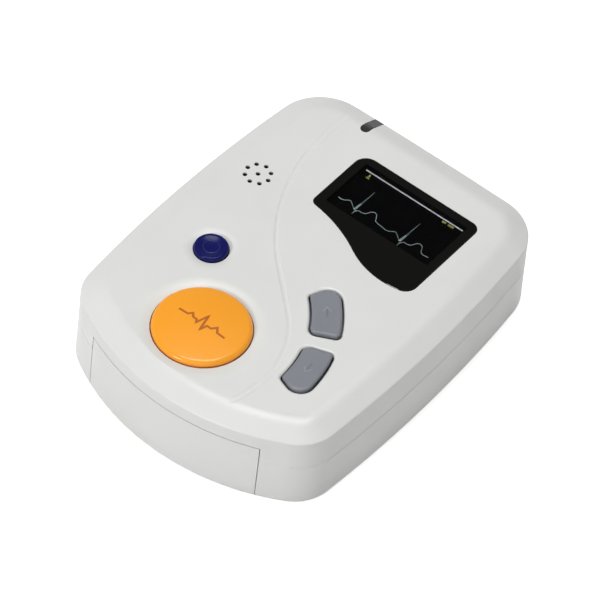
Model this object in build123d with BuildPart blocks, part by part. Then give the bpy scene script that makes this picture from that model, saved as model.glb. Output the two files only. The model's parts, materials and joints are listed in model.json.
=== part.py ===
from build123d import *
from math import cos, degrees, hypot, radians, sin
import os

# A portable ECG machine in a flat two-shell case. Under the top: a small screen, a large event
# button, a small round button and two curved keys over one circuit board. Under the board: two
# AAA cells behind a sliding door, and the socket for the patient leads in the rear wall.
# Millimetres. The origin is the middle of the base, +X to the right of a user who reads the
# screen, +Y towards the screen end, +Z up.

os.makedirs("parts", exist_ok=True)

# Case. Its length, width and height are worked out below, from what it holds
front_bow = 8.7               # the front wall bows out this far between its corners
rear_bow = 0.35
front_corner_inset = 1.5      # the corners stand in from the widest place
rear_corner_inset = 2.55
front_corner_radius = 8.5
rear_corner_radius = 9.8
wall = 1.6
wall_draft = 1.3              # degrees
band_width = 3.8              # the sloping band round the top face, in plan
band_drop = 1.8
shoulder_radius = 4.5         # soft edge between the top face and the band
crest_radius = 0.3            # crisp edge between the band and the wall
base_edge_radius = 0.8
parting_drop = 7.9            # from the top face down to the joint of the two shells
seam_chamfer = 0.08
lip_height = 1.0
lip_gap = 0.1
overrun = 5.0                 # every cut runs this far past the material

# Places on the case, as shares of its width and length, from the middle
place_shares = {
    "mark": (-0.0673, -0.2964),
    "enter": (-0.2460, -0.0999),
    "key_centre": (-0.1744, -0.2898),
    "speaker": (-0.3327, 0.1511),
    "screen": (0.0903, 0.2700),
    "groove": (-0.2809, 0.5),
    "indicator": (-0.2035, 0.5),
    "processor": (-0.0600, -0.0150),
    "amplifier": (-0.3036, 0.2926),
    "regulator": (0.3125, 0.0133),
    "filters": (-0.3930, -0.0133),
    "decoupling": (-0.2050, 0.0400),
    "left_board_screw": (-0.3660, -0.1064),
    "rear_board_screw": (-0.2500, 0.3657),
    "right_board_screw": (0.4036, -0.0532),
}

# Styling groove: a straight, a bend, a straight and two bends the other way
groove_width = 1.0
groove_depth = 0.1
groove_entry = 10.2
groove_upper_radius = 41.3
groove_upper_angle = 47.5
groove_straight = 10.0
groove_lower_radius = 20.3
groove_lower_angle = 52.5
groove_exit_radius = 30.4
groove_exit_angle = 27.5

# Circuit board, measured down from the ceiling of the top shell
board_thickness = 1.0
board_headroom = 2.0
board_inset = 2.6
chip_height = 0.9
chip_edge = 0.12
processor_side = 7.0
amplifier_side = 5.0
regulator_size = (3.0, 2.6)
passive_size = (1.6, 0.8, 0.5)
passive_pitch = (2.4, 1.5)
filter_count = (2, 4)
decoupling_count = (1, 4)

# Buttons and keys
button_gap = 0.15             # between a button and its opening
button_travel = 0.4
button_wall = 1.2
flange_reach = 0.8
flange_thickness = 0.6
flange_gap = 0.1
post_radius = 1.5
mark_radius = 8.8
mark_rise = 1.2
mark_edge_rise = 0.5
mark_edge_radius = 1.0
mark_dish_radius = 11.2
mark_dish_depth = 0.4
enter_radius = 3.1
enter_rise = 0.55
enter_hollow = 0.3
enter_rim = 0.7
enter_edge_radius = 0.45
enter_dish_radius = 4.8
enter_dish_depth = 0.3
key_inner_radius = 23.15
key_width = 5.25
key_gap = 0.25
key_opening_radius = 0.6      # soft edge round each key's opening
key_rise = 0.4
key_edge_radius = 0.4
key_near_inner_radius = 1.2   # corners where the two keys face each other
key_near_outer_radius = 0.8
key_far_inner_radius = 0.6
key_far_outer_radius = 2.4
key_angles = {"up": (27.6, 51.8), "down": (19.7, -3.9)}
key_slant = 3.6               # the inner edge ends this many degrees before the outer edge

# Push switches on the board
switch_side = 4.5
switch_height = 0.8
switch_edge = 0.15
stem_radius = 1.2
switch_floor = 0.05
stem_reserve = 0.3            # still above its switch when pressed
stem_sink = 0.3
stem_gap = 0.1
lead_width = 0.8
lead_reach = 0.6
lead_thickness = 0.2

# Screen
window_thickness = 0.7
window_gap = 0.05
window_edge = 0.15
window_left = 13.0            # from the middle of the lit area
window_right = 13.0
window_top = 7.45
window_low_left = 7.75
window_bend = (-0.5, -11.75)
window_low_right = 13.0
window_low_angle = 4.7
window_low_left_radius = 1.3
window_low_right_radius = 2.6
window_top_right_radius = 1.8
window_top_left_radius = 2.6
lit_width = 21.74
lit_height = 10.86
view_margin = 0.6
glass_width = 26.7
glass_length = 19.3
glass_sheet = 0.7
glass_top_margin = 2.1
glass_strip = 3.4              # free strip of the lower sheet, for the flex and the driver
driver_size = (9.0, 1.6, 0.4)
holder_floor = 1.0
holder_rim = 0.8
holder_rim_height = 0.8
holder_gap = 0.1
gasket_width = 1.2
pocket_gap = 0.3              # round the display, where the ceiling makes room for it
pocket_depth = 0.5
flex_width = 9.0
flex_thickness = 0.12
flex_overlap = 1.0
flex_bend_radius = 0.6
connector_width = 10.0
connector_depth = 3.0
connector_height = 1.0
connector_distance = 4.2      # from the display glass to the middle of the connector
connector_slot = 1.4

# Speaker
speaker_radius = 5.0
speaker_rim = 0.8
speaker_cone_depth = 0.5
speaker_dome_radius = 1.6
mesh_thickness = 0.2
mesh_margin = 0.8
sound_hole_radius = 0.43
sound_ring_radius = 2.31
sound_ring_count = 8

# Indicator: a light guide that wraps over the rear edge, above its lamp
indicator_width = 1.8
indicator_length = 5.8
indicator_depth = 3.8         # from the top face down the rear wall
indicator_gap = 0.05
guide_radius = 0.7
lamp_size = (1.6, 1.2, 0.8)
lamp_gap = 0.15

# Socket for the patient leads, under the rear of the board
socket_width = 18.0
socket_height = 5.2
socket_depth = 8.5
socket_wall = 1.0
socket_back = 1.2
socket_edge = 0.4
socket_recess = 0.3           # its mouth lies this far inside the rear wall
socket_gap = 0.2
socket_key_width = 3.0
socket_key_depth = 0.6
pin_side = 0.64
pin_pitch = 2.54
pin_column_count = 6
pin_row_count = 2
pin_reach = 4.0               # into the socket
pin_tail = 1.0                # behind the socket, the first row

# Cells and their bay
cell_radius = 5.25
cell_length = 44.5
cell_gap = 0.2                # between the two cells
cell_board_gap = 0.2
cell_nub_radius = 1.9
cell_nub_length = 0.8
cell_edge_radius = 0.5
cell_groove_depth = 0.2
cell_groove_width = 0.8
cell_groove_place = 2.0
bay_side_gap = 0.4
cradle_gap = 0.15             # round the upper half of each cell
bay_wall = 1.2
bay_front_wall = 1.0
bay_from_front = 4.0          # from the front of the case to the front of the bay
bay_to_socket = 11.5
bay_board_gap = 0.4
deck_gap = 0.3
deck_thickness = 1.2
contact_thickness = 0.3
contact_width = 7.0
contact_height = 7.0
contact_fold = 1.0
contact_bend_radius = 0.4
contact_space = 2.7           # from the rear ends of the cells to the rear wall of the bay
contact_gap = 0.1
link_thickness = 0.4

# Battery door: a plate with a front upstand that is part of the front wall
door_margin = 10.0            # from the widest place of the case to the side of the door
door_past_cells = 7.25        # the door is wider than the bay by this much on each side
door_gap = 0.15
door_recess = 0.2             # above the surface that the case stands on
door_drop = 4.65              # from the top face down to the upper edge of the upstand
door_past_bay = 2.0
door_travel = 6.0
door_corner_radius = 1.5
ledge_height = 0.8
tab_reach = 1.2
tab_length = 5.0
tab_gap = 0.3
tab_first = 12.6              # from the front face of the bay to the first tab
tab_last = 8.0                # from the last tab to the rear edge of the door
tab_count = 3
tongue_width = 28.0
tongue_length = 2.5
grip_width = 13.0
grip_pitch = 1.8
grip_count = 5
grip_groove = 0.8
grip_depth = 0.35
grip_from_rear = 9.0

# Screws
case_screw_side = 5.0         # from the widest place of the case
case_screw_front = 17.6       # from the front of the case
case_screw_rear = 10.6        # from the rear of the case
case_post_radius = 2.8
case_boss_radius = 2.5
case_well_radius = 2.1
case_well_depth = 4.6
case_screw_radius = 1.0
case_screw_length = 8.0
case_head_radius = 1.9
case_head_height = 1.3
head_edge_radius = 0.3
boss_gap = 0.3                # between the board and the bosses that pass it
screw_gap = 0.1
pilot_gap = 0.02
cross_width = 0.45
cross_length = 2.0
cross_depth = 0.6
board_boss_radius = 1.8
board_screw_radius = 0.7
board_screw_length = 2.6
board_head_radius = 1.5
board_head_height = 0.8
board_cross_length = 1.5
board_cross_depth = 0.4

# The case is as long, as wide and as high as the cells and what lies round them need
bay_length = bay_front_wall + link_thickness + cell_length + contact_space
case_length = (
    bay_from_front + bay_length + bay_wall + bay_to_socket + socket_back + socket_depth + socket_recess
)
bay_half = 2 * cell_radius + cell_gap / 2 + bay_side_gap
case_width = 2 * (bay_half + door_past_cells + door_margin)
case_height = 2 * (wall + cell_radius) + deck_gap + cell_board_gap + board_thickness + board_headroom

front_y = -case_length / 2
rear_y = case_length / 2
side_x = case_width / 2
ceiling = case_height - wall
board_top = ceiling - board_headroom
board_bottom = board_top - board_thickness
parting_height = case_height - parting_drop
door_height = case_height - door_drop
key_outer_radius = key_inner_radius + key_width


def place(name):
    """A named place on the case, from its shares of the width and the length."""
    across, along = place_shares[name]
    return across * case_width, along * case_length


def side_plane(x, y):
    """An upright plane across the case through (x, y), for turned profiles."""
    return Plane(origin=(x, y, 0), x_dir=(1, 0, 0), z_dir=(0, -1, 0))


# The plan outline at the base: four arcs with rounded corners
front_corner_x = side_x - front_corner_inset
rear_corner_x = side_x - rear_corner_inset
with BuildSketch() as outline:
    with BuildLine():
        front_left = (-front_corner_x, front_y + front_bow)
        front_right = (front_corner_x, front_y + front_bow)
        rear_left = (-rear_corner_x, rear_y - rear_bow)
        rear_right = (rear_corner_x, rear_y - rear_bow)
        ThreePointArc(front_left, (0, front_y), front_right)
        ThreePointArc(front_right, (side_x, 0), rear_right)
        ThreePointArc(rear_right, (0, rear_y), rear_left)
        ThreePointArc(rear_left, (-side_x, 0), front_left)
    make_face()
    fillet(outline.vertices().group_by(Axis.Y)[0], front_corner_radius)
    fillet(outline.vertices().group_by(Axis.Y)[-1], rear_corner_radius)


def case_form(inset):
    """The solid outer form of the case, drawn in by inset all round and at the top."""
    band_reach = hypot(band_width, band_drop)
    drop = band_drop - inset * (band_width + band_drop - band_reach) / band_width
    with BuildPart() as form:
        with BuildSketch():
            add(outline.sketch)
            offset(amount=-inset)
        extrude(amount=case_height - inset, taper=wall_draft)
        top = form.faces().sort_by(Axis.Z)[-1]
        chamfer(top.edges(), length=drop * band_width / band_drop, length2=drop, reference=top)
    return form.part


with BuildPart() as body_form:
    with BuildSketch():
        add(outline.sketch)
    extrude(amount=case_height, taper=wall_draft)
    body_top = body_form.faces().sort_by(Axis.Z)[-1]
    chamfer(body_top.edges(), length=band_width, length2=band_drop, reference=body_top)
    fillet(body_form.faces().sort_by(Axis.Z)[-1].edges(), shoulder_radius)
    crest_low = case_height - band_drop - crest_radius
    crest_high = case_height - band_drop + crest_radius
    fillet(body_form.edges().filter_by_position(Axis.Z, crest_low, crest_high), crest_radius)
    fillet(body_form.faces().sort_by(Axis.Z)[0].edges(), base_edge_radius)

with BuildPart() as cavity:
    add(case_form(wall))
    split(bisect_by=Plane.XY.offset(wall), keep=Keep.TOP)

with BuildPart() as lip:
    add(case_form(wall / 2))
    split(bisect_by=Plane.XY.offset(parting_height), keep=Keep.TOP)
    split(bisect_by=Plane.XY.offset(parting_height + lip_height), keep=Keep.BOTTOM)
    add(cavity.part, mode=Mode.SUBTRACT)

with BuildPart() as lip_recess:
    add(case_form(wall / 2 - lip_gap))
    split(bisect_by=Plane.XY.offset(parting_height), keep=Keep.TOP)
    split(bisect_by=Plane.XY.offset(parting_height + lip_height + lip_gap), keep=Keep.BOTTOM)

# Heights and places of the bay, the door, the socket and the fasteners
stem_top = board_top + switch_height + button_travel + stem_reserve
flange_top = ceiling - flange_gap
flange_low = flange_top - flange_thickness
cell_z = board_bottom - cell_board_gap - cell_radius
cell_x = cell_radius + cell_gap / 2
bay_front = front_y + bay_from_front
bay_rear = bay_front + bay_length
cell_rear = bay_rear - contact_space
cell_front = cell_rear - cell_length
bay_top = board_bottom - bay_board_gap
deck_low = wall + deck_gap
deck_high = deck_low + deck_thickness
door_half = bay_half + door_past_cells
door_rear = bay_rear + door_past_bay
tab_low = ledge_height + door_gap
tab_pitch = (door_rear - tab_last - bay_front - tab_first) / (tab_count - 1)
tab_ys = [bay_front + tab_first + k * tab_pitch for k in range(tab_count)]
rebate_half = door_half + tab_reach + tab_gap
rebate_front = tab_ys[0] - tab_length / 2 - door_travel - tab_gap
rebate_rear = door_rear + tongue_length + tab_gap
socket_z = board_bottom - socket_wall - socket_height / 2
socket_mouth = rear_y - socket_recess
socket_inner = socket_mouth - socket_depth
socket_rear = socket_inner - socket_back
screen_x, screen_y = place("screen")
glass_y = screen_y + lit_height / 2 + glass_top_margin - glass_length / 2
glass_low = board_top + holder_floor
glass_top = glass_low + 2 * glass_sheet
connector_y = glass_y - glass_length / 2 - connector_distance
indicator_x, indicator_y = place("indicator")
indicator_y = indicator_y - indicator_length + indicator_width / 2
case_screw_places = [
    (side * (side_x - case_screw_side), y)
    for side in (-1, 1)
    for y in (front_y + case_screw_front, rear_y - case_screw_rear)
]
board_screw_places = [place(side + "_board_screw") for side in ("left", "rear", "right")]


def key_point(radius, angle):
    """A point of the keys' ring, by its radius and its angle in degrees."""
    across, along = place("key_centre")
    return across + radius * cos(radians(angle)), along + radius * sin(radians(angle))


def key_sector(near, far, inset):
    """The corners and the plain ring sector of a key, drawn in by inset all round."""
    turn = degrees(inset / key_middle_radius)
    sense = 1 if far > near else -1
    near, far = near + sense * turn, far - sense * turn
    inner_far = far - sense * key_slant
    inner_angles = (near, (near + inner_far) / 2, inner_far)
    inner = [key_point(key_inner_radius + inset, angle) for angle in inner_angles]
    outer = [key_point(key_outer_radius - inset, angle) for angle in (near, (near + far) / 2, far)]
    with BuildSketch() as sector:
        with BuildLine():
            ThreePointArc(*inner)
            Line(inner[-1], outer[-1])
            ThreePointArc(*reversed(outer))
            Line(outer[0], inner[0])
        make_face()
    return inner, outer, sector.sketch


def key_outline(near, far):
    """The plan of a key: a ring sector with rounded corners."""
    inner, outer, sector = key_sector(near, far, 0)
    with BuildSketch() as plan:
        add(sector)
        for corner, radius in (
            (inner[0], key_near_inner_radius),
            (outer[0], key_near_outer_radius),
            (inner[-1], key_far_inner_radius),
            (outer[-1], key_far_outer_radius),
        ):
            fillet(plan.vertices().sort_by_distance(corner)[0], radius)
    return plan.sketch


key_middle_radius = (key_inner_radius + key_outer_radius) / 2
key_plans = {name: key_outline(*angles) for name, angles in key_angles.items()}
key_middles = {name: key_point(key_middle_radius, sum(angles) / 2) for name, angles in key_angles.items()}
switch_places = {"mark": place("mark"), "enter": place("enter"), **key_middles}

# The plan of the screen window, with its swung lower edge
with BuildSketch() as window_plan:
    window_low_left_corner = (screen_x - window_left, screen_y - window_low_left)
    window_low_right_corner = (screen_x + window_right, screen_y - window_low_right)
    window_bend_point = (screen_x + window_bend[0], screen_y + window_bend[1])
    window_top_right_corner = (screen_x + window_right, screen_y + window_top)
    window_top_left_corner = (screen_x - window_left, screen_y + window_top)
    with BuildLine():
        window_slope = (cos(radians(window_low_angle)), -sin(radians(window_low_angle)))
        falling = TangentArc(window_low_left_corner, window_bend_point, tangent=window_slope)
        TangentArc(window_bend_point, window_low_right_corner, tangent=falling % 1)
        Polyline(
            window_low_right_corner,
            window_top_right_corner,
            window_top_left_corner,
            window_low_left_corner,
        )
    make_face()
    for corner, radius in (
        (window_low_left_corner, window_low_left_radius),
        (window_low_right_corner, window_low_right_radius),
        (window_top_right_corner, window_top_right_radius),
        (window_top_left_corner, window_top_left_radius),
    ):
        fillet(window_plan.vertices().sort_by_distance(corner)[0], radius)

# The plan of the light guide: round at its inner end, and out past the rear wall
with BuildSketch() as guide_plan:
    with BuildLine():
        guide_tail = rear_y + overrun
        guide_left = (indicator_x - indicator_width / 2, indicator_y)
        guide_right = (indicator_x + indicator_width / 2, indicator_y)
        guide_tip = (indicator_x, indicator_y - indicator_width / 2)
        ThreePointArc(guide_left, guide_tip, guide_right)
        Polyline(guide_right, (guide_right[0], guide_tail), (guide_left[0], guide_tail), guide_left)
    make_face()

# The plan of the battery door, out past the front wall
with BuildSketch() as door_plan:
    with Locations((0, (front_y - overrun + door_rear) / 2)):
        Rectangle(2 * door_half, door_rear - front_y + overrun)
    fillet(door_plan.vertices().group_by(Axis.Y)[-1], door_corner_radius)

# The opening for the lead socket, through the rear wall
with BuildPart() as socket_cut:
    socket_plane = Plane(origin=(0, rear_y + overrun, socket_z), x_dir=(-1, 0, 0), z_dir=(0, 1, 0))
    with BuildSketch(socket_plane):
        socket_grow = 2 * (socket_wall + socket_gap)
        RectangleRounded(socket_width + socket_grow, socket_height + socket_grow, socket_edge + socket_gap)
    extrude(amount=-2 * overrun)

# The opening for the door's upstand, through the front wall
with BuildPart() as front_cut:
    with BuildSketch(Plane.XY.offset(-overrun)):
        with Locations((0, front_y + (front_bow - overrun) / 2)):
            Rectangle(2 * (door_half + door_gap), front_bow + overrun)
    extrude(amount=overrun + door_height + door_gap)

# Top shell: face, band and upper wall, with its openings, the groove and the bosses
with BuildPart() as top_shell:
    add(body_form.part)
    split(bisect_by=Plane.XY.offset(parting_height), keep=Keep.TOP)
    chamfer(top_shell.faces().sort_by(Axis.Z)[0].edges(), seam_chamfer)
    add(cavity.part, mode=Mode.SUBTRACT)
    add(lip_recess.part, mode=Mode.SUBTRACT)
    add(front_cut.part, mode=Mode.SUBTRACT)
    with BuildSketch(Plane.XY.offset(parting_height)):
        with Locations(case_screw_places):
            Circle(case_boss_radius)
    extrude(amount=ceiling - parting_height)
    with BuildSketch(Plane.XY.offset(board_top)):
        with Locations(board_screw_places):
            Circle(board_boss_radius)
    extrude(amount=board_headroom)
    add(socket_cut.part, mode=Mode.SUBTRACT)
    # pilot holes for the screws
    with BuildSketch(Plane.XY.offset(parting_height - overrun)):
        with Locations(case_screw_places):
            Circle(case_screw_radius + pilot_gap)
    pilot_top = case_well_depth + case_screw_length + screw_gap
    extrude(amount=overrun + pilot_top - parting_height, mode=Mode.SUBTRACT)
    with BuildSketch(Plane.XY.offset(board_bottom)):
        with Locations(board_screw_places):
            Circle(board_screw_radius + pilot_gap)
    extrude(amount=board_screw_length + screw_gap, mode=Mode.SUBTRACT)
    # soft dishes round the event button and the round button
    for dish_name, dish_radius, dish_depth, hole_radius in (
        ("mark", mark_dish_radius, mark_dish_depth, mark_radius + button_gap),
        ("enter", enter_dish_radius, enter_dish_depth, enter_radius + button_gap),
    ):
        dish_x, dish_y = place(dish_name)
        with BuildSketch(side_plane(dish_x, dish_y)):
            with BuildLine():
                dish_low = case_height - dish_depth
                slope = TangentArc((dish_radius, case_height), (hole_radius, dish_low), tangent=(-1, 0))
                Polyline(
                    slope @ 1,
                    (0, dish_low),
                    (0, case_height + overrun),
                    (dish_radius, case_height + overrun),
                    slope @ 0,
                )
            make_face()
        revolve(axis=Axis((dish_x, dish_y, 0), (0, 0, 1)), mode=Mode.SUBTRACT)
        with BuildSketch(Plane.XY.offset(ceiling - overrun)):
            with Locations((dish_x, dish_y)):
                Circle(hole_radius)
        extrude(amount=wall + 2 * overrun, mode=Mode.SUBTRACT)
    # openings of the keys
    for plan in key_plans.values():
        with BuildSketch(Plane.XY.offset(ceiling - overrun)):
            add(plan)
            offset(amount=key_gap)
        extrude(amount=wall + 2 * overrun, mode=Mode.SUBTRACT)
        rim = top_shell.edges(Select.LAST).filter_by_position(Axis.Z, case_height, case_height)
        fillet(rim, key_opening_radius)
    # recess of the window and the view through it
    with BuildSketch(Plane.XY.offset(case_height - window_thickness)):
        add(window_plan.sketch)
        offset(amount=window_gap)
    extrude(amount=window_thickness + overrun, mode=Mode.SUBTRACT)
    with BuildSketch(Plane.XY.offset(ceiling - overrun)):
        with Locations((screen_x, screen_y)):
            Rectangle(lit_width + 2 * view_margin, lit_height + 2 * view_margin)
    extrude(amount=wall + 2 * overrun, mode=Mode.SUBTRACT)
    # pocket in the ceiling, so that the display lies close under its window
    with BuildSketch(Plane.XY.offset(ceiling - overrun)):
        with Locations((screen_x, glass_y)):
            Rectangle(glass_width + 2 * pocket_gap, glass_length + 2 * pocket_gap)
    extrude(amount=overrun + pocket_depth, mode=Mode.SUBTRACT)
    # sound holes over the speaker
    with BuildSketch(Plane.XY.offset(ceiling - overrun)):
        with Locations(place("speaker")):
            Circle(sound_hole_radius)
            with PolarLocations(sound_ring_radius, sound_ring_count):
                Circle(sound_hole_radius)
    extrude(amount=wall + 2 * overrun, mode=Mode.SUBTRACT)
    # slot of the light guide
    with BuildSketch(Plane.XY.offset(case_height - indicator_depth)):
        add(guide_plan.sketch)
        offset(amount=indicator_gap)
    extrude(amount=indicator_depth + overrun, mode=Mode.SUBTRACT)
    # styling groove, a shallow round-bottomed line
    groove_round = ((groove_width / 2) ** 2 + groove_depth**2) / (2 * groove_depth)
    with BuildLine(Plane.XY.offset(case_height + groove_round - groove_depth)) as groove:
        entry_point = place("groove")
        entry = Line(entry_point, (entry_point[0], entry_point[1] - groove_entry))
        upper = JernArc(entry @ 1, entry % 1, groove_upper_radius, groove_upper_angle)
        straight = Line(upper @ 1, upper @ 1 + (upper % 1) * groove_straight)
        lower = JernArc(straight @ 1, straight % 1, groove_lower_radius, -groove_lower_angle)
        JernArc(lower @ 1, lower % 1, groove_exit_radius, -groove_exit_angle)
    with BuildSketch(Plane(origin=groove.line @ 0, z_dir=groove.line % 0)):
        Circle(groove_round)
    sweep(path=groove.line, mode=Mode.SUBTRACT)
top_shell.part.label = "top_shell"
export_step(top_shell.part, "parts/top_shell.step")

# The bay for the cells: a raised deck over the door, and a cradle that holds the cells from above
with BuildPart() as bay:
    with BuildSketch(Plane.XY.offset(wall)):
        with Locations((0, (bay_front + rebate_rear + bay_wall) / 2)):
            Rectangle(2 * (rebate_half + bay_wall), rebate_rear + bay_wall - bay_front)
    extrude(amount=deck_high - wall)
    with BuildSketch(Plane.XY.offset(wall)):
        with Locations((0, (front_y + rebate_rear) / 2)):
            Rectangle(2 * rebate_half, rebate_rear - front_y)
    extrude(amount=deck_gap, mode=Mode.SUBTRACT)
    with BuildSketch(Plane.XY.offset(deck_low)):
        with Locations((0, (bay_front + bay_rear + bay_wall) / 2)):
            Rectangle(2 * (bay_half + bay_wall), bay_rear + bay_wall - bay_front)
    extrude(amount=bay_top - deck_low)
    with BuildSketch(Plane.XY.offset(wall)):
        with Locations((0, (bay_front + bay_front_wall + bay_rear) / 2)):
            Rectangle(2 * bay_half, bay_rear - bay_front - bay_front_wall)
    extrude(amount=cell_z - wall, mode=Mode.SUBTRACT)
    with BuildSketch(Plane.XZ.offset(-bay_rear)):
        with Locations((-cell_x, cell_z), (cell_x, cell_z)):
            Circle(cell_radius + cradle_gap)
    extrude(amount=bay_rear - bay_front - bay_front_wall, mode=Mode.SUBTRACT)
    with BuildSketch(Plane.XZ.offset(-bay_front - bay_front_wall - link_thickness)):
        with Locations((0, cell_z)):
            Rectangle(2 * cell_x + contact_width + contact_gap, contact_height + contact_gap)
    extrude(amount=link_thickness, mode=Mode.SUBTRACT)
    add(case_form(wall + deck_gap), mode=Mode.INTERSECT)

# Bottom shell: lower wall and floor, with the bay, the screw posts and the door's ledges
with BuildPart() as bottom_shell:
    add(body_form.part)
    split(bisect_by=Plane.XY.offset(parting_height), keep=Keep.BOTTOM)
    chamfer(bottom_shell.faces().sort_by(Axis.Z)[-1].edges(), seam_chamfer)
    add(cavity.part, mode=Mode.SUBTRACT)
    add(lip.part)
    with BuildSketch(Plane.XY.offset(parting_height)):
        with Locations(case_screw_places):
            Circle(case_boss_radius + lip_gap)
    extrude(amount=lip_height + overrun, mode=Mode.SUBTRACT)
    add(front_cut.part, mode=Mode.SUBTRACT)
    add(socket_cut.part, mode=Mode.SUBTRACT)
    with BuildSketch(Plane.XY.offset(-overrun)):
        add(door_plan.sketch)
        offset(amount=door_gap)
    extrude(amount=overrun + wall, mode=Mode.SUBTRACT)
    # room above the ledges for the door's tabs and its tongue
    with BuildSketch(Plane.XY.offset(ledge_height)):
        rebate_end = tab_ys[-1] + tab_length / 2 + tab_gap
        with Locations((0, (rebate_front + rebate_end) / 2)):
            Rectangle(2 * rebate_half, rebate_end - rebate_front)
        with Locations((0, (door_rear + rebate_rear - tongue_length) / 2)):
            Rectangle(tongue_width + 2 * tab_gap, rebate_rear - door_rear + tongue_length)
    extrude(amount=wall - ledge_height, mode=Mode.SUBTRACT)
    # notches that let the tabs drop when the door has slid forward
    with BuildSketch(Plane.XY.offset(-overrun)):
        for tab_y in tab_ys:
            with Locations((0, tab_y - door_travel)):
                Rectangle(2 * rebate_half, tab_length + 2 * tab_gap)
    extrude(amount=overrun + wall, mode=Mode.SUBTRACT)
    add(bay.part)
    with BuildSketch():
        with Locations(case_screw_places):
            Circle(case_post_radius)
    extrude(amount=parting_height)
    with BuildSketch():
        with Locations(case_screw_places):
            Circle(case_screw_radius + screw_gap)
    extrude(amount=parting_height + overrun, mode=Mode.SUBTRACT)
    with BuildSketch():
        with Locations(case_screw_places):
            Circle(case_well_radius)
    extrude(amount=case_well_depth, mode=Mode.SUBTRACT)
bottom_shell.part.label = "bottom_shell"
export_step(bottom_shell.part, "parts/bottom_shell.step")

# Battery door: plate, upstand in the line of the front wall, side tabs and rear tongue
with BuildPart() as battery_door:
    with BuildSketch(Plane.XY.offset(door_recess)):
        add(door_plan.sketch)
    extrude(amount=wall - door_recess)
    with BuildSketch(Plane.XY.offset(door_recess)):
        with Locations((0, front_y + (front_bow - overrun) / 2)):
            Rectangle(2 * door_half, front_bow + overrun)
    extrude(amount=door_height - door_recess)
    add(body_form.part, mode=Mode.INTERSECT)
    add(cavity.part, mode=Mode.SUBTRACT)
    with BuildSketch(Plane.XY.offset(tab_low)):
        for tab_y in tab_ys:
            with Locations((0, tab_y)):
                Rectangle(2 * (door_half + tab_reach), tab_length)
        with Locations((0, door_rear)):
            Rectangle(tongue_width, 2 * tongue_length)
    extrude(amount=wall - tab_low)
    # finger grooves across the plate
    with BuildSketch(Plane.XY.offset(door_recess)):
        with Locations((0, door_rear - grip_from_rear)):
            with GridLocations(0, grip_pitch, 1, grip_count):
                SlotOverall(grip_width, grip_groove)
    extrude(amount=grip_depth, mode=Mode.SUBTRACT)
battery_door.part.label = "battery_door"
export_step(battery_door.part, "parts/battery_door.step")

# Screen window: a clear lens, flush with the top face
with BuildPart() as screen_window:
    with BuildSketch(Plane.XY.offset(case_height - window_thickness)):
        add(window_plan.sketch)
    extrude(amount=window_thickness)
    chamfer(screen_window.faces().sort_by(Axis.Z)[-1].edges(), window_edge)
screen_window.part.label = "screen_window"
export_step(screen_window.part, "parts/screen_window.step")

# Display: two sheets of glass, with the driver chip on the lower one's free strip
cap_length = glass_length - glass_strip
cap_y = glass_y + glass_strip / 2
with BuildPart() as oled_display:
    with BuildSketch(Plane.XY.offset(glass_low)):
        with Locations((screen_x, glass_y)):
            Rectangle(glass_width, glass_length)
    extrude(amount=glass_sheet)
    with BuildSketch(Plane.XY.offset(glass_low + glass_sheet)):
        with Locations((screen_x, cap_y)):
            Rectangle(glass_width, cap_length)
    extrude(amount=glass_sheet)
    with BuildSketch(Plane.XY.offset(glass_low + glass_sheet)):
        with Locations((screen_x, cap_y - cap_length / 2 - driver_size[1])):
            Rectangle(driver_size[0], driver_size[1])
    extrude(amount=driver_size[2])
oled_display.part.label = "oled_display"
export_step(oled_display.part, "parts/oled_display.step")

# Foam frame between the display and the pocket's ceiling
with BuildPart() as display_gasket:
    with BuildSketch(Plane.XY.offset(glass_top)):
        with Locations((screen_x, screen_y)):
            gasket_inner = (lit_width + 2 * view_margin, lit_height + 2 * view_margin)
            Rectangle(gasket_inner[0] + 2 * gasket_width, gasket_inner[1] + 2 * gasket_width)
            Rectangle(*gasket_inner, mode=Mode.SUBTRACT)
    extrude(amount=ceiling + pocket_depth - glass_top)
display_gasket.part.label = "display_gasket"
export_step(display_gasket.part, "parts/display_gasket.step")

# Tray that holds the display on the board, open where the flex leaves
with BuildPart() as display_holder:
    tray_width = glass_width + 2 * holder_gap
    tray_length = glass_length + 2 * holder_gap
    with BuildSketch(Plane.XY.offset(board_top)):
        with Locations((screen_x, glass_y)):
            Rectangle(tray_width + 2 * holder_rim, tray_length + 2 * holder_rim)
    extrude(amount=holder_floor + holder_rim_height)
    with BuildSketch(Plane.XY.offset(glass_low)):
        with Locations((screen_x, glass_y)):
            Rectangle(tray_width, tray_length)
        with Locations((screen_x, glass_y - tray_length / 2)):
            Rectangle(flex_width + 2 * holder_rim, 2 * holder_rim)
    extrude(amount=holder_rim_height, mode=Mode.SUBTRACT)
display_holder.part.label = "display_holder"
export_step(display_holder.part, "parts/display_holder.step")

# Flex from the lower sheet of the display into its connector
flex_start = glass_y - glass_length / 2 + flex_overlap
flex_end = connector_y + connector_depth / 2 - connector_slot
with BuildPart() as display_flex:
    with BuildSketch(Plane.YZ.offset(screen_x - flex_width / 2)):
        with BuildLine() as flex_line:
            flex_high = glass_low + glass_sheet + flex_thickness / 2
            flex_deep = board_top + connector_height / 2
            flex_drop = connector_y + connector_depth / 2 + 2 * flex_bend_radius
            FilletPolyline(
                (flex_start, flex_high),
                (flex_drop + flex_bend_radius, flex_high),
                (flex_drop, flex_deep),
                (flex_end, flex_deep),
                radius=flex_bend_radius,
            )
        trace(flex_line.line, line_width=flex_thickness)
    extrude(amount=flex_width)
display_flex.part.label = "display_flex"
export_step(display_flex.part, "parts/display_flex.step")

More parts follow.
